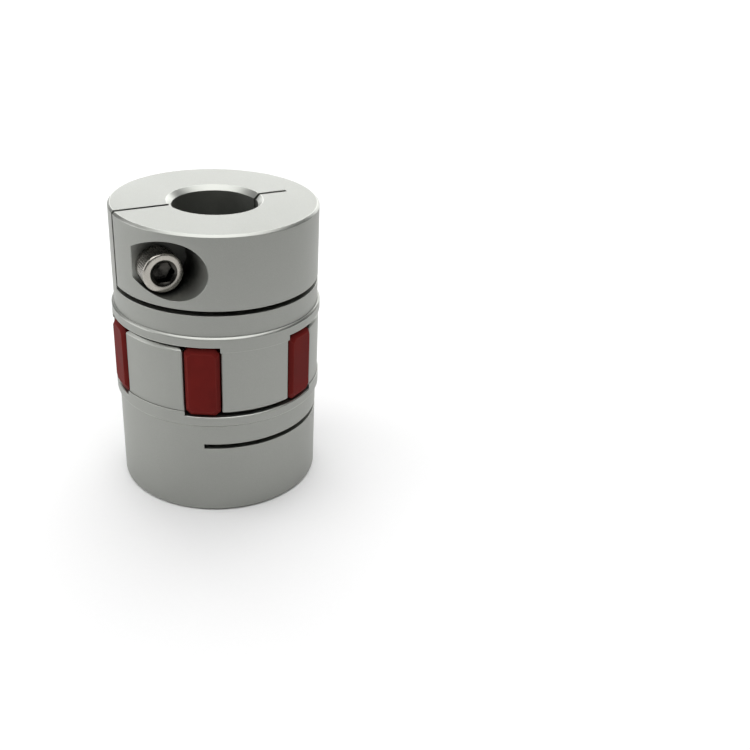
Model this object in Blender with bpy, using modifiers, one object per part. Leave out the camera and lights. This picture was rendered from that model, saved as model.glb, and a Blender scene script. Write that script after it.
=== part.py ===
"""Jaw coupling for two 22 mm shafts: two identical clamp hubs that plug into a toothed spider.

The coupling stands on the lower hub's end face. Its axis is +Z through the origin.
Each hub is modelled once in its own frame: end face at z = 0, jaws towards +z,
clamping split towards +x and the free half of the clamp on the -y side.
"""
import math

import bmesh
import bpy
from mathutils import Matrix, Vector

MM = 0.001
FIT_GAP = 0.3 * MM

# Whole coupling
LENGTH = 78.0 * MM
TEETH = 6
JAWS = TEETH // 2
TOOTH_PITCH = 2.0 * math.pi / TEETH
FIRST_TOOTH = math.radians(30.0)

# Hub, measured from its own end face
CLAMP_RADIUS = 26.8 * MM
CLAMP_RIM_CHAMFER = 0.6 * MM
FLANGE_RADIUS = 27.5 * MM
FLANGE_START = 26.3 * MM
FLANGE_EDGE = 0.25 * MM
FLOOR = 29.2 * MM
BORE_RADIUS = 11.0 * MM
BORE_MOUTH_CHAMFER = 1.3 * MM
BORE_INNER_CHAMFER = 0.5 * MM

# Jaws
JAW_TIP_GAP = 0.75 * MM
JAW_TIP = LENGTH - FLOOR - JAW_TIP_GAP
JAW_RADIUS = 27.2 * MM
JAW_STEP = 30.4 * MM
JAW_INNER_RADIUS = 17.0 * MM
JAW_CHAMFER = 0.7 * MM

# Clamp: one diametral split, open at one end, and a slot across under the free half
SLOT_WIDTH = 1.2 * MM
RELIEF_SLOT_START = 19.45 * MM
RELIEF_SLOT_WIDTH = 1.3 * MM
RELIEF_SLOT_END = RELIEF_SLOT_START + RELIEF_SLOT_WIDTH
HINGE_SLOT_REACH = 20.0 * MM

# Screw pocket and hole, both square to the split
POCKET_RADIUS = 7.45 * MM
POCKET_OFFSET = 18.9 * MM
POCKET_HEIGHT = 10.0 * MM
POCKET_SEAT = 9.0 * MM
SCREW_OFFSET = 19.3 * MM
SCREW_HEIGHT = 11.7 * MM
SCREW_HOLE_DEPTH = 13.0 * MM

# Clamp screw: M6 socket head cap screw, 20 mm under the head
SHANK_RADIUS = 3.0 * MM
SHANK_LENGTH = 20.0 * MM
SHANK_CHAMFER = 0.6 * MM
HEAD_RADIUS = 5.1 * MM
HEAD_HEIGHT = 6.0 * MM
HEAD_CHAMFER = 0.6 * MM
SOCKET_FLATS = 5.0 * MM
SOCKET_DEPTH = 3.2 * MM

# Spider
SPIDER_MIDDLE = LENGTH / 2.0
SPIDER_HOLE_RADIUS = 13.5 * MM
RING_RADIUS = 16.6 * MM
RING_HEIGHT = 12.0 * MM
TOOTH_WIDTH = 8.84 * MM
TOOTH_HEIGHT = LENGTH - 2.0 * (FLOOR + FIT_GAP)
TOOTH_FACE_RADIUS = 27.6 * MM
TOOTH_ROOT_RADIUS = 15.0 * MM
TOOTH_CORNER = 1.3 * MM
TOOTH_EDGE = 1.0 * MM

# Poses of the two hubs about the axis
LOWER_HUB_TURN = math.radians(90.0)
UPPER_HUB_TURN = math.radians(-150.0)

# Facets
TURNED_STEPS = 60
POCKET_STEPS = 32
SCREW_STEPS = 32
MERGE = 1.0e-6
OVERSHOOT = 5.0 * MM


def clear_scene():
    for obj in list(bpy.data.objects):
        bpy.data.objects.remove(obj, do_unlink=True)


def new_collection(name):
    collection = bpy.data.collections.new(name)
    bpy.context.scene.collection.children.link(collection)
    return collection


def make_material(name, colour, roughness, metallic):
    material = bpy.data.materials.new(name)
    material.use_nodes = True
    shader = material.node_tree.nodes["Principled BSDF"]
    shader.inputs["Base Color"].default_value = (*colour, 1.0)
    shader.inputs["Roughness"].default_value = roughness
    shader.inputs["Metallic"].default_value = metallic
    return material


def add_object(name, mesh, collection):
    obj = bpy.data.objects.new(name, mesh)
    collection.objects.link(obj)
    return obj


def object_from_bmesh(name, bm, collection):
    mesh = bpy.data.meshes.new(name)
    bm.to_mesh(mesh)
    bm.free()
    return add_object(name, mesh, collection)


def turned(name, profile, steps, collection):
    """Solid of revolution about z from (radius, height) points that run down the outside."""
    bm = bmesh.new()
    points = [bm.verts.new((radius, 0.0, height)) for radius, height in profile]
    for start, end in zip(points, points[1:]):
        bm.edges.new((start, end))
    if profile[0][0] > 0.0:
        bm.edges.new((points[-1], points[0]))
    obj = object_from_bmesh(name, bm, collection)
    screw = obj.modifiers.new("Turn", "SCREW")
    screw.axis = "Z"
    screw.angle = 2.0 * math.pi
    screw.steps = steps
    screw.render_steps = steps
    screw.use_merge_vertices = True
    screw.merge_threshold = MERGE
    return obj


def block(name, low, high, collection):
    """Box between two corners."""
    low = Vector(low)
    high = Vector(high)
    bm = bmesh.new()
    place = Matrix.Translation((low + high) / 2.0) @ Matrix.Diagonal((*(high - low), 1.0))
    bmesh.ops.create_cube(bm, size=1.0, matrix=place)
    return object_from_bmesh(name, bm, collection)


def rod_along_y(name, radius, x, z, y_low, y_high, collection):
    """Cylinder parallel to the y axis."""
    bm = bmesh.new()
    place = Matrix.Translation((x, (y_low + y_high) / 2.0, z))
    place = place @ Matrix.Rotation(math.radians(90.0), 4, "X")
    bmesh.ops.create_cone(bm, cap_ends=True, segments=POCKET_STEPS, radius1=radius,
                          radius2=radius, depth=y_high - y_low, matrix=place)
    return object_from_bmesh(name, bm, collection)


def boolean(target, tool, operation):
    modifier = target.modifiers.new(tool.name, "BOOLEAN")
    modifier.operation = operation
    modifier.solver = "EXACT"
    modifier.object = tool
    tool.hide_render = True
    tool.display_type = "WIRE"


def finished_mesh(obj, name, material):
    """Mesh with the modifiers of obj carried out, ready to be shared by several objects."""
    depsgraph = bpy.context.evaluated_depsgraph_get()
    mesh = bpy.data.meshes.new_from_object(obj.evaluated_get(depsgraph))
    mesh.name = name
    mesh.materials.clear()
    mesh.materials.append(material)
    mesh.shade_smooth()
    mesh.set_sharp_from_angle(angle=math.radians(25.0))
    bpy.data.objects.remove(obj, do_unlink=True)
    return mesh


def hub_profile():
    outside = [
        (JAW_RADIUS - JAW_CHAMFER, JAW_TIP),
        (JAW_RADIUS, JAW_TIP - JAW_CHAMFER),
        (JAW_RADIUS, JAW_STEP),
        (FLANGE_RADIUS, JAW_STEP),
        (FLANGE_RADIUS, FLANGE_START + FLANGE_EDGE),
        (FLANGE_RADIUS - FLANGE_EDGE, FLANGE_START),
        (CLAMP_RADIUS, FLANGE_START),
        (CLAMP_RADIUS, CLAMP_RIM_CHAMFER),
        (CLAMP_RADIUS - CLAMP_RIM_CHAMFER, 0.0),
    ]
    inside = [
        (BORE_RADIUS + BORE_MOUTH_CHAMFER, 0.0),
        (BORE_RADIUS, BORE_MOUTH_CHAMFER),
        (BORE_RADIUS, FLOOR - BORE_INNER_CHAMFER),
        (BORE_RADIUS + BORE_INNER_CHAMFER, FLOOR),
        (JAW_INNER_RADIUS, FLOOR),
        (JAW_INNER_RADIUS, JAW_TIP),
    ]
    return outside + inside


def jaw_gap(index, cutters):
    """Wedge between two jaws. Its flanks lie beside the two teeth that it borders on."""
    tooth_slot_half = TOOTH_WIDTH / 2.0 + FIT_GAP
    apex = tooth_slot_half / math.sin(TOOTH_PITCH / 2.0)
    reach = 2.0 * FLANGE_RADIUS
    half_width = (reach + apex) * math.tan(TOOTH_PITCH / 2.0)
    middle = TOOTH_PITCH * (2 * index + 1.5)
    turn = Matrix.Rotation(middle, 3, "Z")
    bm = bmesh.new()
    outline = [(-apex, 0.0), (reach, -half_width), (reach, half_width)]
    corners = [bm.verts.new(turn @ Vector((x, y, FLOOR))) for x, y in outline]
    base = bm.faces.new(corners)
    sweep = bmesh.ops.extrude_face_region(bm, geom=[base])
    raised = [item for item in sweep["geom"] if isinstance(item, bmesh.types.BMVert)]
    bmesh.ops.translate(bm, vec=(0.0, 0.0, JAW_TIP - FLOOR + OVERSHOOT), verts=raised)
    bmesh.ops.recalc_face_normals(bm, faces=bm.faces)
    return object_from_bmesh(f"jaw_gap_{index}", bm, cutters)


def hub_cutters(cutters):
    beyond = FLANGE_RADIUS + OVERSHOOT
    half_slot = SLOT_WIDTH / 2.0
    split = block("split", (-HINGE_SLOT_REACH, -half_slot, -OVERSHOOT),
                  (beyond, half_slot, RELIEF_SLOT_END), cutters)
    relief = block("relief_slot", (-beyond, -beyond, RELIEF_SLOT_START),
                   (beyond, 0.0, RELIEF_SLOT_END), cutters)
    pocket = rod_along_y("screw_pocket", POCKET_RADIUS, POCKET_OFFSET, POCKET_HEIGHT,
                         -beyond, -POCKET_SEAT, cutters)
    hole = rod_along_y("screw_hole", SHANK_RADIUS + FIT_GAP, SCREW_OFFSET, SCREW_HEIGHT,
                       -POCKET_SEAT - OVERSHOOT, SCREW_HOLE_DEPTH, cutters)
    gaps = [jaw_gap(index, cutters) for index in range(JAWS)]
    return gaps + [relief, split, pocket, hole]


def hub_mesh(parts, cutters, material):
    blank = turned("hub_blank", hub_profile(), TURNED_STEPS, parts)
    for cutter in hub_cutters(cutters):
        boolean(blank, cutter, "DIFFERENCE")
    return finished_mesh(blank, "hub", material)


def screw_profile():
    return [
        (0.0, HEAD_HEIGHT),
        (HEAD_RADIUS - HEAD_CHAMFER, HEAD_HEIGHT),
        (HEAD_RADIUS, HEAD_HEIGHT - HEAD_CHAMFER),
        (HEAD_RADIUS, 0.0),
        (SHANK_RADIUS, 0.0),
        (SHANK_RADIUS, SHANK_CHAMFER - SHANK_LENGTH),
        (SHANK_RADIUS - SHANK_CHAMFER, -SHANK_LENGTH),
        (0.0, -SHANK_LENGTH),
    ]


def screw_mesh(parts, cutters, material):
    """Screw with its underhead plane at z = 0 and its head towards +z."""
    blank = turned("screw_blank", screw_profile(), SCREW_STEPS, parts)
    corner_radius = SOCKET_FLATS / 2.0 / math.cos(math.radians(30.0))
    bm = bmesh.new()
    top = HEAD_HEIGHT + OVERSHOOT
    bottom = HEAD_HEIGHT - SOCKET_DEPTH
    bmesh.ops.create_cone(bm, cap_ends=True, segments=6, radius1=corner_radius,
                          radius2=corner_radius, depth=top - bottom,
                          matrix=Matrix.Translation((0.0, 0.0, (top + bottom) / 2.0)))
    socket = object_from_bmesh("hex_socket", bm, cutters)
    boolean(blank, socket, "DIFFERENCE")
    return finished_mesh(blank, "clamp_screw", material)


def spider_tooth(index, cutters):
    """Block with cut corners and a bevelled outer face, pointing away from the axis."""
    depth = TOOTH_FACE_RADIUS - TOOTH_ROOT_RADIUS
    middle = (TOOTH_FACE_RADIUS + TOOTH_ROOT_RADIUS) / 2.0
    size = Matrix.Diagonal((depth, TOOTH_WIDTH, TOOTH_HEIGHT, 1.0))
    bm = bmesh.new()
    bmesh.ops.create_cube(bm, size=1.0, matrix=Matrix.Translation((middle, 0.0, 0.0)) @ size)
    radial = [edge for edge in bm.edges
              if abs(edge.verts[0].co.x - edge.verts[1].co.x) > depth / 2.0]
    bmesh.ops.bevel(bm, geom=radial, offset=TOOTH_CORNER, segments=1, profile=0.5,
                    affect="EDGES")
    rim = [edge for edge in bm.edges
           if min(vert.co.x for vert in edge.verts) > TOOTH_FACE_RADIUS - MERGE]
    bmesh.ops.bevel(bm, geom=rim, offset=TOOTH_EDGE, segments=1, profile=0.5,
                    affect="EDGES")
    tooth = object_from_bmesh(f"tooth_{index}", bm, cutters)
    tooth.rotation_euler = (0.0, 0.0, FIRST_TOOTH + index * TOOTH_PITCH)
    tooth.location = (0.0, 0.0, SPIDER_MIDDLE)
    return tooth


def make_spider(parts, cutters, material):
    half = RING_HEIGHT / 2.0
    profile = [
        (RING_RADIUS, SPIDER_MIDDLE + half),
        (RING_RADIUS, SPIDER_MIDDLE - half),
        (SPIDER_HOLE_RADIUS, SPIDER_MIDDLE - half),
        (SPIDER_HOLE_RADIUS, SPIDER_MIDDLE + half),
    ]
    ring = turned("spider_ring", profile, TURNED_STEPS, parts)
    for index in range(TEETH):
        boolean(ring, spider_tooth(index, cutters), "UNION")
    bpy.context.view_layer.update()
    return add_object("spider", finished_mesh(ring, "spider", material), parts)


def fit_screw(name, mesh, hub, parts):
    """Screw parented to its hub, standing in the pocket with its head just off the seat."""
    screw = add_object(name, mesh, parts)
    screw.parent = hub
    screw.location = (SCREW_OFFSET, -POCKET_SEAT - FIT_GAP, SCREW_HEIGHT)
    screw.rotation_euler = (math.radians(90.0), 0.0, 0.0)
    return screw


def main():
    clear_scene()
    parts = new_collection("jaw_coupling")
    cutters = new_collection("cutters")
    aluminium = make_material("anodised_aluminium", (0.62, 0.63, 0.62), 0.38, 0.9)
    polyurethane = make_material("red_polyurethane", (0.30, 0.035, 0.03), 0.45, 0.0)
    steel = make_material("nickel_plated_steel", (0.60, 0.57, 0.52), 0.25, 1.0)

    hub = hub_mesh(parts, cutters, aluminium)
    lower_hub = add_object("lower_hub", hub, parts)
    lower_hub.rotation_euler = (0.0, 0.0, LOWER_HUB_TURN)
    upper_hub = add_object("upper_hub", hub, parts)
    upper_hub.location = (0.0, 0.0, LENGTH)
    upper_hub.rotation_euler = (math.pi, 0.0, UPPER_HUB_TURN)

    make_spider(parts, cutters, polyurethane)

    screw = screw_mesh(parts, cutters, steel)
    fit_screw("lower_clamp_screw", screw, lower_hub, parts)
    fit_screw("upper_clamp_screw", screw, upper_hub, parts)


main()
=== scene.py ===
import math

import bmesh
import bpy
from mathutils import Matrix, Vector


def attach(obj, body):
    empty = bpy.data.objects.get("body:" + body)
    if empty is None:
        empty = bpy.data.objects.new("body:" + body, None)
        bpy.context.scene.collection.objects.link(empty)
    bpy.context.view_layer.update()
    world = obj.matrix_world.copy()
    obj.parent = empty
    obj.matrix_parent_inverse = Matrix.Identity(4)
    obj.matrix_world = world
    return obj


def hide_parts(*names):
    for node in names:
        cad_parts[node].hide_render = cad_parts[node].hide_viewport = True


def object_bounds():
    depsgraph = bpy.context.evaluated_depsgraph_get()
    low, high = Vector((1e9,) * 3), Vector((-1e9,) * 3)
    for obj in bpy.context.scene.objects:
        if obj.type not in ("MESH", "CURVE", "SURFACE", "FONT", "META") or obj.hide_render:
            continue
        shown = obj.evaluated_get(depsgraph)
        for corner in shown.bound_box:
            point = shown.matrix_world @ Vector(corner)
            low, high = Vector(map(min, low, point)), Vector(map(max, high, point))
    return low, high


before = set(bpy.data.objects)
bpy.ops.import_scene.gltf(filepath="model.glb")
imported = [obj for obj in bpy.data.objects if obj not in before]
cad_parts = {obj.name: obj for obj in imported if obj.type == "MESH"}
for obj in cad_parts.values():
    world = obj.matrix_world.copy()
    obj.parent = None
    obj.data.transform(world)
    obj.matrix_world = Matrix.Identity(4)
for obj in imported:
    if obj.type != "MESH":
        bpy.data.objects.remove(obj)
CAD_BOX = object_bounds()

MM = 0.001

# Whole coupling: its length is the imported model's own height
LENGTH = CAD_BOX[1].z - CAD_BOX[0].z
TEETH = 6
JAWS = TEETH // 2
TOOTH_PITCH = 2.0 * math.pi / TEETH
FIRST_TOOTH = math.radians(30.0)
FIT_GAP = 0.3 * MM

# Hub, measured from its own end face
CLAMP_RADIUS = 26.8 * MM
CLAMP_RIM_CHAMFER = 0.6 * MM
FLANGE_RADIUS = 27.5 * MM
FLANGE_START = 26.3 * MM
FLANGE_EDGE = 0.5 * MM
FLOOR = 29.2 * MM
FLOOR_EDGE = 0.25 * MM
GAP_START = 10.0 * MM
FAR_OUT = 3.0 * FLANGE_RADIUS
BORE_RADIUS = 11.0 * MM
BORE_MOUTH_CHAMFER = 1.3 * MM
BORE_INNER_CHAMFER = 0.5 * MM
JAW_TIP_GAP = 0.75 * MM
JAW_TIP = LENGTH - FLOOR - JAW_TIP_GAP
JAW_RADIUS = 27.2 * MM
JAW_STEP = 30.4 * MM
JAW_INNER_RADIUS = 17.0 * MM
JAW_CHAMFER = 0.7 * MM
JAW_TIP_CORNER = 0.8 * MM
JAW_SIDE_EDGE = 0.35 * MM
SLOT_WIDTH = 1.2 * MM
RELIEF_SLOT_START = 19.45 * MM
RELIEF_SLOT_WIDTH = 1.3 * MM
RELIEF_SLOT_END = RELIEF_SLOT_START + RELIEF_SLOT_WIDTH
HINGE_SLOT_REACH = 20.0 * MM
POCKET_RADIUS = 7.45 * MM
POCKET_OFFSET = 18.9 * MM
POCKET_HEIGHT = 10.0 * MM
POCKET_SEAT = 9.0 * MM
POCKET_SHADE_DEPTH = 8.0 * MM
SCREW_OFFSET = 19.3 * MM
SCREW_HEIGHT = 11.7 * MM
SCREW_HOLE_RADIUS = 3.3 * MM
SCREW_HOLE_DEPTH = 13.0 * MM
HUB_EDGE_BREAK = 0.10 * MM
HUB_EDGE_SEGMENTS = 2

# Where the hub's surface is worn or gets painted highlight, and where it gets painted shade
CHAMFER_HIGHLIGHT = 0.9
CHAMFER_LEAST_SLOPE = 0.3
CHAMFER_MOST_SLOPE = 0.9
INSIDE_CORNER_SHADE = 0.8
RIM_MARGIN = 0.1 * MM
WALL_MARGIN = 0.03 * MM
SEAT_MARGIN = 0.2 * MM

# Clamp screw
HEAD_RADIUS = 5.1 * MM
HEAD_HEIGHT = 6.0 * MM
HEAD_CHAMFER = 0.6 * MM
SOCKET_FLATS = 5.0 * MM
SOCKET_DEPTH = 3.2 * MM
SOCKET_MOUTH_RADIUS = 3.4 * MM
SOCKET_MOUTH_SLOPE = math.radians(30.0)
SOCKET_FLOOR_ROUND = 0.06 * MM
SOCKET_WALL_BREAK = 0.05 * MM
SOCKET_RIM_WIDTH = 0.08 * MM
SOCKET_RIM_DROP = 0.03 * MM
DRILL_RADIUS = 1.9 * MM
DRILL_POINT_DEPTH = 0.8 * MM
DRILL_POINT_RADIUS = 0.02 * MM
FOOT_EDGE_WIDTH = 0.05 * MM
FOOT_EDGE_HEIGHT = 0.08 * MM
FOOT_STEP = 0.2 * MM
KNURLS = 54
KNURL_DEPTH = 0.14 * MM
KNURL_SHADE = 0.5
KNURL_SHADE_START = 0.3 * MM
THREAD_RADIUS = 3.0 * MM
THREAD_DEPTH = 0.58 * MM
THREAD_PITCH = 1.0 * MM
THREAD_CREST = 0.12
THREAD_FLANK = 0.72
THREAD_RUN_OUT = 1.2 * MM
SHANK_LENGTH = 20.0 * MM
SHANK_CHAMFER = 0.6 * MM

# Spider
SPIDER_MIDDLE = LENGTH / 2.0
SPIDER_HOLE_RADIUS = 13.5 * MM
RING_RADIUS = 16.6 * MM
RING_HEIGHT = 12.0 * MM
TOOTH_WIDTH = 8.84 * MM
TOOTH_HEIGHT = LENGTH - 2.0 * (FLOOR + FIT_GAP)
TOOTH_FACE_RADIUS = 27.6 * MM
TOOTH_ROOT_RADIUS = 15.0 * MM
TOOTH_CORNER = 1.3 * MM
TOOTH_FACE_CORNER = 0.75 * TOOTH_CORNER
TOOTH_SIDE_EDGE = 0.85 * MM
TOOTH_END_EDGE = 1.35 * MM
TOOTH_EDGE_DEPTH = 1.0 * MM
TOOTH_SHADE_DEPTH = 2.0 * MM
TOOTH_EDGE_BREAK = 0.14 * MM
TOOTH_EDGE_SEGMENTS = 3

# Facets, and the sizes used in cutting and joining
TURNED_STEPS = 240
POCKET_STEPS = 96
HEAD_COLUMNS = KNURLS * 4
THREAD_COLUMNS = HEAD_COLUMNS // 3
THREAD_ROWS_PER_TURN = 12
HEAD_ROUND_STEPS = 6
FLOOR_STEPS = 96
OVERSHOOT = 5.0 * MM
MERGE = 0.004 * MM
SHARP = math.radians(30.0)

# Camera: distances in metres, turns in radians, lens and sensor in mm
CAMERA_AZIMUTH = math.radians(9.0)
CAMERA_DISTANCE = 0.24972
CAMERA_HEIGHT = 0.16076
CAMERA_PAN = 0.1753
CAMERA_TILT = -0.4894
CAMERA_ROLL = 0.0591
CAMERA_LENS = 48.03
CAMERA_SENSOR = 36.0
CAMERA_NEAREST = 0.01

# Studio
FLOOR_SIZE = 4.0
WORLD_LIGHT = 0.06

# Places of the two hubs, and of a screw in its hub
LOWER_HUB_PLACE = Matrix.Rotation(math.radians(90.0), 4, "Z")
UPPER_HUB_PLACE = (Matrix.Translation((0.0, 0.0, LENGTH))
                   @ Matrix.Rotation(math.radians(-150.0), 4, "Z")
                   @ Matrix.Rotation(math.pi, 4, "X"))
SCREW_PLACE = (Matrix.Translation((SCREW_OFFSET, -POCKET_SEAT - FIT_GAP, SCREW_HEIGHT))
               @ Matrix.Rotation(math.radians(90.0), 4, "X"))


# ---------------------------------------------------------------- mesh tools

def object_from_bmesh(name, bm):
    mesh = bpy.data.meshes.new(name)
    bm.to_mesh(mesh)
    bm.free()
    obj = bpy.data.objects.new(name, mesh)
    bpy.context.scene.collection.objects.link(obj)
    return obj


def turned(name, profile):
    """Solid of revolution about z. The (radius, height) points make a closed loop."""
    bm = bmesh.new()
    rings = []
    angles = [2.0 * math.pi * (k + 0.5) / TURNED_STEPS for k in range(TURNED_STEPS)]
    for radius, height in profile:
        if radius == 0.0:
            rings.append([bm.verts.new((0.0, 0.0, height))] * TURNED_STEPS)
            continue
        rings.append([bm.verts.new((radius * math.cos(a), radius * math.sin(a), height))
                      for a in angles])
    for one, two in zip(rings, rings[1:] + rings[:1]):
        for k in range(TURNED_STEPS):
            n = (k + 1) % TURNED_STEPS
            corners = [one[k], one[n], two[n], two[k]]
            unique = list(dict.fromkeys(corners))
            if len(unique) > 2:
                bm.faces.new(unique)
    bmesh.ops.recalc_face_normals(bm, faces=bm.faces)
    return object_from_bmesh(name, bm)


def block(name, low, high):
    """Box between two corners."""
    low = Vector(low)
    high = Vector(high)
    bm = bmesh.new()
    place = Matrix.Translation((low + high) / 2.0) @ Matrix.Diagonal((*(high - low), 1.0))
    bmesh.ops.create_cube(bm, size=1.0, matrix=place)
    return object_from_bmesh(name, bm)


def rod_along_y(name, radius, x, z, y_low, y_high, segments):
    """Cylinder parallel to the y axis."""
    bm = bmesh.new()
    place = Matrix.Translation((x, (y_low + y_high) / 2.0, z))
    place = place @ Matrix.Rotation(math.radians(90.0), 4, "X")
    bmesh.ops.create_cone(bm, cap_ends=True, segments=segments, radius1=radius,
                          radius2=radius, depth=y_high - y_low, matrix=place)
    return object_from_bmesh(name, bm)


def lofted(name, layers):
    """Closed solid through outlines of equal point count, listed from the bottom up."""
    bm = bmesh.new()
    rings = [[bm.verts.new(point) for point in layer] for layer in layers]
    count = len(rings[0])
    for one, two in zip(rings, rings[1:]):
        for k in range(count):
            n = (k + 1) % count
            bm.faces.new((one[k], one[n], two[n], two[k]))
    bm.faces.new(rings[0])
    bm.faces.new(rings[-1])
    bmesh.ops.recalc_face_normals(bm, faces=bm.faces)
    return object_from_bmesh(name, bm)


def combine(target, tool, operation):
    modifier = target.modifiers.new(tool.name, "BOOLEAN")
    modifier.operation = operation
    modifier.solver = "EXACT"
    modifier.object = tool


def carried_out(obj, tools):
    """Mesh of obj with its modifiers applied. The object and its tools are removed."""
    depsgraph = bpy.context.evaluated_depsgraph_get()
    mesh = bpy.data.meshes.new_from_object(obj.evaluated_get(depsgraph))
    for used in [obj, *tools]:
        bpy.data.objects.remove(used, do_unlink=True)
    return mesh


def is_inside_corner(face, fresh):
    """True where the walls beside a new face rise above it instead of falling away."""
    middle = face.calc_center_median()
    rise = 0.0
    for edge in face.edges:
        for other in edge.link_faces:
            if other not in fresh:
                rise += (other.calc_center_median() - middle).dot(face.normal)
    return rise > 0.0


def with_broken_edges(mesh, width, segments):
    """Rounds every sharp edge, marking outer ones for edge wear with painted highlight and inside
    ones for painted shade.
    """
    bm = bmesh.new()
    bm.from_mesh(mesh)
    bmesh.ops.remove_doubles(bm, verts=bm.verts, dist=MERGE)
    bmesh.ops.dissolve_degenerate(bm, edges=bm.edges, dist=MERGE)
    sharp = [edge for edge in bm.edges
             if len(edge.link_faces) == 2 and edge.calc_face_angle(0.0) > SHARP]
    made = bmesh.ops.bevel(bm, geom=sharp, offset=width, offset_type="OFFSET",
                           segments=segments, profile=0.5, affect="EDGES",
                           clamp_overlap=False)
    bm.normal_update()
    fresh = set(made["faces"])
    wear_and_highlight = bm.loops.layers.float_color.new("edge_wear_and_highlight")
    painted_shade = bm.loops.layers.float_color.new("painted_shade")
    for face in bm.faces:
        # inside bevel faces get painted shade, outer ones edge wear with painted highlight
        inside = face in fresh and is_inside_corner(face, fresh)
        worn_and_lit = 1.0 if face in fresh and not inside else 0.0
        corner_shade = INSIDE_CORNER_SHADE if inside else 0.0
        for loop in face.loops:
            loop[wear_and_highlight] = (worn_and_lit, worn_and_lit, worn_and_lit, 1.0)
            loop[painted_shade] = (corner_shade, corner_shade, corner_shade, 1.0)
    bm.to_mesh(mesh)
    bm.free()
    return mesh


def with_attribute(mesh, name, value_of):
    """Raises a grey corner attribute to value_of(face, place of the face's corner)."""
    bm = bmesh.new()
    bm.from_mesh(mesh)
    bm.normal_update()
    known = bm.loops.layers.float_color.get(name)
    layer = known or bm.loops.layers.float_color.new(name)
    for face in bm.faces:
        for loop in face.loops:
            old = loop[layer][0] if known else 0.0
            value = max(old, value_of(face, loop.vert.co))
            loop[layer] = (value, value, value, 1.0)
    bm.to_mesh(mesh)
    bm.free()
    return mesh


def make_piece(name, mesh, place, material, node, body):
    """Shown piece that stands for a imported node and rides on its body."""
    mesh.name = name
    mesh.transform(place)
    mesh.materials.clear()
    mesh.materials.append(material)
    mesh.shade_smooth()
    obj = bpy.data.objects.new(name, mesh)
    bpy.context.scene.collection.objects.link(obj)
    normals = obj.modifiers.new("Flat faces stay flat", "WEIGHTED_NORMAL")
    normals.mode = "FACE_AREA"
    normals.weight = 50
    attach(obj, body)
    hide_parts(node)
    return obj


# ---------------------------------------------------------------- hub

def hub_profile():
    """Section of a hub as (radius, height): down the outside, then up through the bore."""
    outside = [
        (JAW_RADIUS - JAW_CHAMFER, JAW_TIP),
        (JAW_RADIUS, JAW_TIP - JAW_CHAMFER),
        (JAW_RADIUS, JAW_STEP),
        (FLANGE_RADIUS, JAW_STEP),
        (FLANGE_RADIUS, FLANGE_START + FLANGE_EDGE),
        (FLANGE_RADIUS - FLANGE_EDGE, FLANGE_START),
        (CLAMP_RADIUS, FLANGE_START),
        (CLAMP_RADIUS, CLAMP_RIM_CHAMFER),
        (CLAMP_RADIUS - CLAMP_RIM_CHAMFER, 0.0),
    ]
    inside = [
        (BORE_RADIUS + BORE_MOUTH_CHAMFER, 0.0),
        (BORE_RADIUS, BORE_MOUTH_CHAMFER),
        (BORE_RADIUS, FLOOR - BORE_INNER_CHAMFER),
        (BORE_RADIUS + BORE_INNER_CHAMFER, FLOOR),
        (JAW_INNER_RADIUS, FLOOR),
        (JAW_INNER_RADIUS, JAW_TIP),
    ]
    return outside + inside


def gap_outline(sink, rim_radius):
    """Plan of the space between two jaws, with each flank sunk that far into its jaw.

    Past rim_radius each flank flares out, which breaks the jaw's upright edge.
    """
    half_angle = TOOTH_PITCH / 2.0
    along = Vector((math.cos(half_angle), math.sin(half_angle)))
    into = Vector((-math.sin(half_angle), math.cos(half_angle)))
    offset = TOOTH_WIDTH / 2.0 + FIT_GAP
    start = along * GAP_START + into * (offset + sink)
    shoulder = along * math.sqrt(rim_radius ** 2 - offset ** 2) + into * (offset + sink)
    end = shoulder + (along + into) * OVERSHOOT
    far = Vector((FAR_OUT, end.y))
    upper = [start, shoulder, end, far]
    lower = [Vector((point.x, -point.y)) for point in upper]
    return upper + lower[::-1]


def gap_dish():
    """Everything above the floor between the jaws, dipping at the floor's outer edge."""
    edge = FLANGE_RADIUS - FLOOR_EDGE
    drop = FAR_OUT - edge
    top = JAW_TIP + 2.0 * OVERSHOOT
    return turned("gap_dish", [(0.0, FLOOR), (edge, FLOOR), (FAR_OUT, FLOOR - drop),
                               (FAR_OUT, top), (0.0, top)])


def jaw_gap(index):
    """Wedge between two jaws, from under the floor to above the jaw tips, for the dish to trim."""
    turn = Matrix.Rotation(TOOTH_PITCH * (2 * index + 1.5), 3, "Z")
    sharp_rim = FLANGE_RADIUS + FIT_GAP
    broken_rim = JAW_RADIUS - JAW_SIDE_EDGE
    levels = [
        (FLOOR - OVERSHOOT, 0.0, sharp_rim),
        (JAW_STEP, 0.0, sharp_rim),
        (JAW_STEP + JAW_SIDE_EDGE, 0.0, broken_rim),
        (JAW_TIP - JAW_TIP_CORNER, 0.0, broken_rim),
        (JAW_TIP + OVERSHOOT, JAW_TIP_CORNER + OVERSHOOT, broken_rim),
    ]
    layers = [[turn @ Vector((point.x, point.y, height))
               for point in gap_outline(sink, rim)] for height, sink, rim in levels]
    return lofted(f"jaw_gap_{index}", layers)


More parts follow.
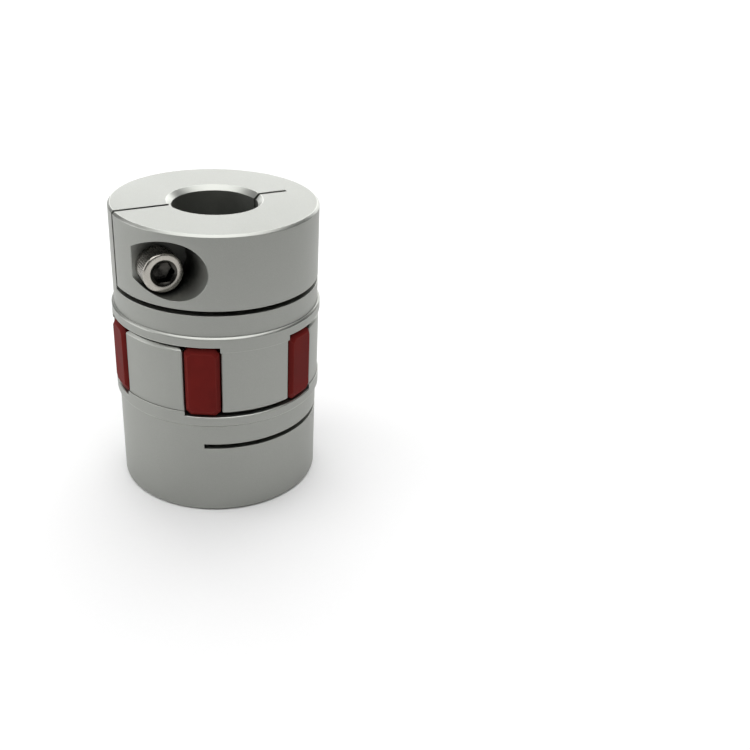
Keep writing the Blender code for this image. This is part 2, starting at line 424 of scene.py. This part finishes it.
def hub_mesh():
    """Clamp hub in its own frame: end face at z = 0, jaws towards +z, split towards +x."""
    beyond = FLANGE_RADIUS + OVERSHOOT
    half_slot = SLOT_WIDTH / 2.0
    blank = turned("hub_blank", hub_profile())
    dish = gap_dish()
    gaps = [jaw_gap(index) for index in range(JAWS)]
    for gap in gaps:
        combine(gap, dish, "INTERSECT")
    tools = gaps + [
        block("relief_slot", (-beyond, -beyond, RELIEF_SLOT_START),
              (beyond, 0.0, RELIEF_SLOT_END)),
        block("split", (-HINGE_SLOT_REACH, -half_slot, -OVERSHOOT),
              (beyond, half_slot, RELIEF_SLOT_END)),
        rod_along_y("screw_pocket", POCKET_RADIUS, POCKET_OFFSET, POCKET_HEIGHT,
                    -beyond, -POCKET_SEAT, POCKET_STEPS),
        rod_along_y("screw_hole", SCREW_HOLE_RADIUS, SCREW_OFFSET, SCREW_HEIGHT,
                    -POCKET_SEAT - OVERSHOOT, SCREW_HOLE_DEPTH, POCKET_STEPS // 2),
    ]
    for tool in tools:
        combine(blank, tool, "DIFFERENCE")
    mesh = with_broken_edges(carried_out(blank, tools + [dish]), HUB_EDGE_BREAK,
                             HUB_EDGE_SEGMENTS)
    # painted shade in the screw pocket and hole, painted highlight on turned chamfers
    with_attribute(mesh, "painted_shade", pocket_shade)
    return with_attribute(mesh, "edge_wear_and_highlight", lambda face, corner: chamfer_highlight(face))


def is_recessed(point):
    """True on the walls and seat of the screw pocket and in the screw hole."""
    if math.hypot(point.x, point.y) > CLAMP_RADIUS - RIM_MARGIN:
        return False
    from_pocket = math.hypot(point.x - POCKET_OFFSET, point.z - POCKET_HEIGHT)
    from_hole = math.hypot(point.x - SCREW_OFFSET, point.z - SCREW_HEIGHT)
    in_pocket = from_pocket < POCKET_RADIUS + WALL_MARGIN and point.y < SEAT_MARGIN - POCKET_SEAT
    in_hole = from_hole < SCREW_HOLE_RADIUS + WALL_MARGIN and point.y < SCREW_HOLE_DEPTH
    return in_pocket or in_hole


def pocket_shade(face, corner):
    """Painted shade that deepens from the pocket's rim towards its inner end."""
    if not is_recessed(face.calc_center_median()):
        return 0.0
    depth = CLAMP_RADIUS - math.hypot(corner.x, corner.y)
    return min(1.0, max(0.0, depth / POCKET_SHADE_DEPTH))


def chamfer_highlight(face):
    """Painted highlight: turned chamfers are made brighter than the walls beside them."""
    sloping = CHAMFER_LEAST_SLOPE < abs(face.normal.z) < CHAMFER_MOST_SLOPE
    return CHAMFER_HIGHLIGHT if sloping and not is_recessed(face.calc_center_median()) else 0.0


# ---------------------------------------------------------------- spider

def tooth_outline(half_width, half_height, corner):
    """Upright rectangle with cut corners, as (across, height) points in order."""
    side = half_height - corner
    end = half_width - corner
    right = [(end, -half_height), (half_width, -side), (half_width, side), (end, half_height)]
    left = [(-across, up) for across, up in right[::-1]]
    return right + left


def spider_tooth(index):
    """Block with cut corners and a bevelled outer face, pointing away from the axis."""
    half_width = TOOTH_WIDTH / 2.0
    half_height = TOOTH_HEIGHT / 2.0
    body = tooth_outline(half_width, half_height, TOOTH_CORNER)
    face = tooth_outline(half_width - TOOTH_SIDE_EDGE, half_height - TOOTH_END_EDGE,
                         TOOTH_FACE_CORNER)
    levels = [
        (TOOTH_ROOT_RADIUS, body),
        (TOOTH_FACE_RADIUS - TOOTH_EDGE_DEPTH, body),
        (TOOTH_FACE_RADIUS, face),
    ]
    turn = Matrix.Rotation(FIRST_TOOTH + index * TOOTH_PITCH, 3, "Z")
    lift = Vector((0.0, 0.0, SPIDER_MIDDLE))
    layers = [[turn @ Vector((radius, across, up)) + lift for across, up in outline]
              for radius, outline in levels]
    return lofted(f"tooth_{index}", layers)


def spider_mesh():
    """Ring with a tooth for each gap between the jaws of both hubs."""
    half = RING_HEIGHT / 2.0
    ring = turned("spider_ring", [
        (RING_RADIUS, SPIDER_MIDDLE + half),
        (RING_RADIUS, SPIDER_MIDDLE - half),
        (SPIDER_HOLE_RADIUS, SPIDER_MIDDLE - half),
        (SPIDER_HOLE_RADIUS, SPIDER_MIDDLE + half),
    ])
    teeth = [spider_tooth(index) for index in range(TEETH)]
    for tooth in teeth:
        combine(ring, tooth, "UNION")
    mesh = with_broken_edges(carried_out(ring, teeth), TOOTH_EDGE_BREAK,
                             TOOTH_EDGE_SEGMENTS)
    # painted shade down the sides of the teeth
    return with_attribute(mesh, "painted_shade", lambda face, corner: tooth_side_shade(corner))


def tooth_side_shade(corner):
    """Painted shade: 0 on a tooth's outer face, rising to 1 where its sides go down between the
    jaws.
    """
    depth = TOOTH_FACE_RADIUS - math.hypot(corner.x, corner.y)
    return min(1.0, max(0.0, depth / TOOTH_SHADE_DEPTH))


# ---------------------------------------------------------------- clamp screw

def hexagon_radius(angle):
    """Distance from the axis to the socket's wall in that direction."""
    sixth = math.pi / 3.0
    return SOCKET_FLATS / 2.0 / math.cos((angle % sixth) - sixth / 2.0)


def head_rows():
    """Rows of the head from the socket's centre out and down to the seat, as functions."""
    bottom = HEAD_HEIGHT - SOCKET_DEPTH
    rim = HEAD_RADIUS - HEAD_CHAMFER
    slope = math.tan(SOCKET_MOUTH_SLOPE)

    def mouth_height(angle):
        return HEAD_HEIGHT - (SOCKET_MOUTH_RADIUS - hexagon_radius(angle)) * slope

    rows = [
        (lambda a: DRILL_POINT_RADIUS, lambda a: bottom - DRILL_POINT_DEPTH),
        (lambda a: DRILL_RADIUS, lambda a: bottom),
        (lambda a: hexagon_radius(a) - SOCKET_FLOOR_ROUND, lambda a: bottom),
        (lambda a: hexagon_radius(a), lambda a: bottom + SOCKET_FLOOR_ROUND),
        (lambda a: hexagon_radius(a), lambda a: mouth_height(a) - SOCKET_WALL_BREAK),
        (lambda a: hexagon_radius(a) + SOCKET_WALL_BREAK, lambda a: mouth_height(a)),
        (lambda a: SOCKET_MOUTH_RADIUS, lambda a: HEAD_HEIGHT - SOCKET_RIM_DROP),
        (lambda a: SOCKET_MOUTH_RADIUS + SOCKET_RIM_WIDTH, lambda a: HEAD_HEIGHT),
    ]
    for step in range(HEAD_ROUND_STEPS + 1):
        turn = step / HEAD_ROUND_STEPS * math.pi / 2.0
        rows.append((lambda a, t=turn: rim + HEAD_CHAMFER * math.sin(t),
                     lambda a, t=turn: HEAD_HEIGHT - HEAD_CHAMFER * (1.0 - math.cos(t))))

    def knurled(share):
        def radius(angle):
            phase = (angle * KNURLS / (2.0 * math.pi)) % 1.0
            valley = abs(2.0 * phase - 1.0)
            return HEAD_RADIUS - KNURL_DEPTH * share * valley
        return radius

    # heights in mm down the side, each with the knurls' share of their full depth there
    side = [(5.25, 0.25), (5.0, 1.0), (2.6, 1.0), (0.6, 1.0), (0.35, 0.2)]
    rows += [(knurled(share), lambda a, z=height * MM: z) for height, share in side]
    rows += [
        (lambda a: HEAD_RADIUS - FOOT_EDGE_WIDTH, lambda a: FOOT_EDGE_HEIGHT),
        (lambda a: HEAD_RADIUS - FOOT_STEP, lambda a: 0.0),
    ]
    return rows


def thread_radius(angle, height):
    """Helical thread of about 60 degrees that fades out under the head, with a chamfered tip."""
    phase = (height / THREAD_PITCH - angle / (2.0 * math.pi)) % 1.0
    flank = min(1.0, max(0.0, (abs(2.0 * phase - 1.0) - THREAD_CREST) / THREAD_FLANK))
    start = min(1.0, max(0.0, -height / THREAD_RUN_OUT))
    tip = max(0.0, -height - (SHANK_LENGTH - SHANK_CHAMFER))
    return THREAD_RADIUS - THREAD_DEPTH * flank * start - tip


def screw_mesh():
    """Socket head cap screw with its underhead plane at z = 0 and its head towards +z."""
    bm = bmesh.new()

    def ring(radius_of, height_of, columns):
        made = []
        for k in range(columns):
            a = 2.0 * math.pi * k / columns
            r = radius_of(a)
            made.append(bm.verts.new((r * math.cos(a), r * math.sin(a), height_of(a))))
        return made

    head = [ring(r, z, HEAD_COLUMNS) for r, z in head_rows()]
    rows = int(SHANK_LENGTH / THREAD_PITCH * THREAD_ROWS_PER_TURN)
    shank = []
    for row in range(rows + 1):
        z = -SHANK_LENGTH * row / rows
        shank.append(ring(lambda a, z=z: thread_radius(a, z), lambda a, z=z: z,
                          THREAD_COLUMNS))
    for rings in (head, shank):
        for one, two in zip(rings, rings[1:]):
            for k in range(len(one)):
                n = (k + 1) % len(one)
                bm.faces.new((one[k], one[n], two[n], two[k]))
    bm.faces.new(head[0])
    bm.faces.new(shank[-1])
    share = HEAD_COLUMNS // THREAD_COLUMNS
    for k in range(THREAD_COLUMNS):
        n = (k + 1) % THREAD_COLUMNS
        outer = [head[-1][(share * k + j) % HEAD_COLUMNS] for j in range(share + 1)]
        bm.faces.new([*outer, shank[0][n], shank[0][k]])
    bmesh.ops.recalc_face_normals(bm, faces=bm.faces)
    mesh = bpy.data.meshes.new("clamp_screw")
    bm.to_mesh(mesh)
    bm.free()
    # painted shade in the socket and between the knurls
    return with_attribute(mesh, "painted_shade", screw_painted_shade)


def screw_painted_shade(face, corner):
    """Painted shade: 1 in the socket, and up to KNURL_SHADE in the valleys between the knurls."""
    middle = face.calc_center_median()
    if middle.z > 0.0 and math.hypot(middle.x, middle.y) < SOCKET_MOUTH_RADIUS:
        return 1.0
    if KNURL_SHADE_START < middle.z < HEAD_HEIGHT - HEAD_CHAMFER:
        valley = (HEAD_RADIUS - math.hypot(corner.x, corner.y)) / KNURL_DEPTH
        return KNURL_SHADE * min(1.0, max(0.0, valley))
    return 0.0


# ---------------------------------------------------------------- materials

class Nodes:
    """Small helper that adds nodes to one material and joins them up."""

    def __init__(self, name):
        self.material = bpy.data.materials.new(name)
        self.material.use_nodes = True
        self.tree = self.material.node_tree
        self.shader = self.tree.nodes["Principled BSDF"]
        self.place = self.tree.nodes.new("ShaderNodeTexCoord").outputs["Object"]

    def join(self, source, target):
        if hasattr(source, "is_output"):
            self.tree.links.new(source, target)
        else:
            target.default_value = source

    def noise(self, scale, detail, roughness):
        node = self.tree.nodes.new("ShaderNodeTexNoise")
        node.inputs["Scale"].default_value = scale
        node.inputs["Detail"].default_value = detail
        node.inputs["Roughness"].default_value = roughness
        self.tree.links.new(self.place, node.inputs["Vector"])
        return node.outputs["Fac"]

    def spread(self, value, low, high, from_low=0.3, from_high=0.7):
        """Carries the stretch from_low to from_high of a value over to low to high."""
        node = self.tree.nodes.new("ShaderNodeMapRange")
        for key, number in (("From Min", from_low), ("From Max", from_high),
                            ("To Min", low), ("To Max", high)):
            node.inputs[key].default_value = number
        self.join(value, node.inputs["Value"])
        return node.outputs["Result"]

    def maths(self, operation, one, two=0.0):
        node = self.tree.nodes.new("ShaderNodeMath")
        node.operation = operation
        self.join(one, node.inputs[0])
        self.join(two, node.inputs[1])
        return node.outputs["Value"]

    def mix(self, factor, one, two):
        node = self.tree.nodes.new("ShaderNodeMix")
        node.data_type = "RGBA"
        colours = [socket for socket in node.inputs if socket.type == "RGBA"]
        self.join(factor, node.inputs["Factor"])
        self.join(one, colours[0])
        self.join(two, colours[1])
        return [socket for socket in node.outputs if socket.type == "RGBA"][0]

    def attribute(self, name):
        node = self.tree.nodes.new("ShaderNodeAttribute")
        node.attribute_name = name
        return node.outputs["Fac"]

    def turned_lines(self, scale):
        """Noise that runs in rings round z on flat faces and round the sides on walls."""
        parts = self.tree.nodes.new("ShaderNodeSeparateXYZ")
        self.tree.links.new(self.place, parts.inputs["Vector"])
        x, y, z = [parts.outputs[axis] for axis in "XYZ"]
        radius = self.maths("SQRT", self.maths("ADD", self.maths("MULTIPLY", x, x),
                                               self.maths("MULTIPLY", y, y)))
        node = self.tree.nodes.new("ShaderNodeTexNoise")
        node.noise_dimensions = "1D"
        node.inputs["Scale"].default_value = scale
        node.inputs["Detail"].default_value = 3.0
        self.join(self.maths("ADD", radius, z), node.inputs["W"])
        return node.outputs["Fac"]

    def bump(self, height, distance, normal=None):
        node = self.tree.nodes.new("ShaderNodeBump")
        node.inputs["Distance"].default_value = distance
        node.inputs["Strength"].default_value = 1.0
        self.join(height, node.inputs["Height"])
        if normal:
            self.tree.links.new(normal, node.inputs["Normal"])
        return node.outputs["Normal"]

    def shade(self, **values):
        """Sets or links the shader's sockets, whose names have _ in place of spaces."""
        for key, value in values.items():
            self.join(value, self.shader.inputs[key.replace("_", " ")])
        return self.material


def shaded(colour, factor):
    """The colour made lighter or darker, with alpha 1."""
    return (colour[0] * factor, colour[1] * factor, colour[2] * factor, 1.0)


def aluminium_material():
    """Matt anodised metal: cloudy tone, fine grain, turned lines, edges brightened by wear and
    painted highlight, painted shade in hollows.
    """
    n = Nodes("hub_aluminium")
    tone = (0.345, 0.352, 0.330)
    cloud = n.spread(n.noise(scale=70.0, detail=5.0, roughness=0.6), 0.0, 1.0)
    grain = n.noise(scale=5200.0, detail=3.0, roughness=0.7)
    lines = n.turned_lines(2600.0)
    wear_and_highlight = n.attribute("edge_wear_and_highlight")
    colour = n.mix(cloud, shaded(tone, 0.955), shaded(tone, 1.045))
    colour = n.mix(n.spread(grain, 0.0, 0.35), colour, shaded(tone, 0.82))
    # edges lighter from wear and painted highlight
    colour = n.mix(n.maths("MULTIPLY", wear_and_highlight, 0.7), colour, shaded(tone, 1.45))
    # painted shade in the screw pocket, the screw hole and inside corners
    colour = n.mix(n.attribute("painted_shade"), colour, shaded(tone, 0.40))
    roughness = n.spread(cloud, 0.44, 0.50, 0.0, 1.0)
    roughness = n.maths("ADD", roughness, n.spread(grain, -0.035, 0.035))
    roughness = n.maths("SUBTRACT", roughness, n.maths("MULTIPLY", wear_and_highlight, 0.10))
    normal = n.bump(lines, 0.0016 * MM)
    normal = n.bump(grain, 0.006 * MM, normal=normal)
    return n.shade(Base_Color=colour, Metallic=1.0, Roughness=roughness, Normal=normal)


def polyurethane_material():
    """Red moulding with painted shade down the sides of its teeth, and edges lightened by wear and
    painted highlight.
    """
    n = Nodes("spider_polyurethane")
    tone = (0.148, 0.0120, 0.0100)
    cloud = n.spread(n.noise(scale=120.0, detail=4.0, roughness=0.55), 0.0, 1.0)
    grain = n.noise(scale=3000.0, detail=2.0, roughness=0.6)
    colour = n.mix(cloud, shaded(tone, 0.86), shaded(tone, 1.12))
    # bevelled edges lighter from wear and painted highlight
    colour = n.mix(n.maths("MULTIPLY", n.attribute("edge_wear_and_highlight"), 0.5), colour,
                   (0.17, 0.022, 0.018, 1.0))
    # painted shade down the tooth sides and in inside corners
    colour = n.mix(n.attribute("painted_shade"), colour, shaded(tone, 0.45))
    roughness = n.maths("ADD", n.spread(cloud, 0.55, 0.65, 0.0, 1.0),
                        n.spread(grain, -0.04, 0.04))
    normal = n.bump(n.noise(scale=420.0, detail=3.0, roughness=0.5), 0.02 * MM)
    normal = n.bump(grain, 0.004 * MM, normal=normal)
    return n.shade(Base_Color=colour, Roughness=roughness, Normal=normal,
                   Specular_IOR_Level=0.06)


def steel_material():
    """Plated steel with painted shade in the socket and between the knurls."""
    n = Nodes("screw_steel")
    tone = (0.44, 0.42, 0.38)
    cloud = n.spread(n.noise(scale=400.0, detail=4.0, roughness=0.6), 0.0, 1.0)
    grain = n.noise(scale=6500.0, detail=2.0, roughness=0.6)
    colour = n.mix(cloud, shaded(tone, 0.86), shaded(tone, 1.08))
    # painted shade in the socket and the knurl valleys
    colour = n.mix(n.attribute("painted_shade"), colour, shaded(tone, 0.12))
    roughness = n.maths("ADD", n.spread(cloud, 0.20, 0.30, 0.0, 1.0),
                        n.spread(grain, -0.03, 0.03))
    normal = n.bump(grain, 0.003 * MM)
    return n.shade(Base_Color=colour, Metallic=1.0, Roughness=roughness, Normal=normal)


# ---------------------------------------------------------------- pieces

def make_coupling():
    aluminium = aluminium_material()
    polyurethane = polyurethane_material()
    steel = steel_material()
    hub = hub_mesh()
    screw = screw_mesh()
    for side, place in (("lower", LOWER_HUB_PLACE), ("upper", UPPER_HUB_PLACE)):
        make_piece(f"{side}_hub_body", hub.copy(), place, aluminium, f"{side}_hub",
                   f"{side}_hub")
        make_piece(f"{side}_clamp_screw_body", screw.copy(), place @ SCREW_PLACE, steel,
                   f"{side}_clamp_screw", f"{side}_clamp_screw")
    make_piece("spider_body", spider_mesh(), Matrix.Identity(4), polyurethane,
               "spider", "spider")
    bpy.data.meshes.remove(hub)
    bpy.data.meshes.remove(screw)


# ---------------------------------------------------------------- stage

def make_camera():
    data = bpy.data.cameras.new("camera")
    data.sensor_width = CAMERA_SENSOR
    data.lens = CAMERA_LENS
    data.clip_start = CAMERA_NEAREST
    camera = bpy.data.objects.new("camera", data)
    bpy.context.scene.collection.objects.link(camera)
    stand = Vector((CAMERA_DISTANCE * math.sin(CAMERA_AZIMUTH),
                    -CAMERA_DISTANCE * math.cos(CAMERA_AZIMUTH), CAMERA_HEIGHT))
    camera.matrix_world = (Matrix.Translation(stand)
                           @ Matrix.Rotation(CAMERA_AZIMUTH - CAMERA_PAN, 4, "Z")
                           @ Matrix.Rotation(math.pi / 2.0 + CAMERA_TILT, 4, "X")
                           @ Matrix.Rotation(CAMERA_ROLL, 4, "Z"))
    bpy.context.scene.camera = camera


def soft_light(name, place, width, height, radiance):
    """White panel that faces the coupling's middle and looks that bright."""
    data = bpy.data.lights.new(name, "AREA")
    data.shape = "RECTANGLE"
    data.size = width
    data.size_y = height
    data.energy = radiance * math.pi * width * height
    light = bpy.data.objects.new(name, data)
    bpy.context.scene.collection.objects.link(light)
    light.location = place
    aim = Vector((0.0, 0.0, LENGTH / 2.0)) - Vector(place)
    light.rotation_euler = aim.to_track_quat("-Z", "Y").to_euler()


def make_floor():
    bm = bmesh.new()
    bmesh.ops.create_circle(bm, cap_ends=True, segments=FLOOR_STEPS, radius=FLOOR_SIZE)
    floor = object_from_bmesh("floor", bm)
    n = Nodes("floor_paper")
    fleck = n.noise(scale=900.0, detail=3.0, roughness=0.6)
    floor.data.materials.append(n.shade(
        Base_Color=n.mix(fleck, (0.88, 0.88, 0.88, 1.0), (0.90, 0.90, 0.90, 1.0)),
        Roughness=0.9, Specular_IOR_Level=0.1))


def make_lights():
    world = bpy.data.worlds.new("studio")
    bpy.context.scene.world = world
    world.use_nodes = True
    background = world.node_tree.nodes["Background"]
    background.inputs["Color"].default_value = (1.0, 1.0, 1.0, 1.0)
    background.inputs["Strength"].default_value = WORLD_LIGHT
    soft_light("overhead", (0.0, 0.0, 0.8), width=1.2, height=1.2, radiance=2.15)
    soft_light("behind", (-0.05, 1.1, 0.42), width=1.7, height=0.7, radiance=2.75)
    soft_light("left", (-1.0, -0.1, 0.4), width=0.8, height=0.7, radiance=1.75)
    soft_light("front", (0.1, -0.8, 1.0), width=0.9, height=0.5, radiance=0.65)
    bpy.context.scene.view_settings.view_transform = "Standard"


make_camera()
make_coupling()
make_floor()
make_lights()

bpy.context.view_layer.update()
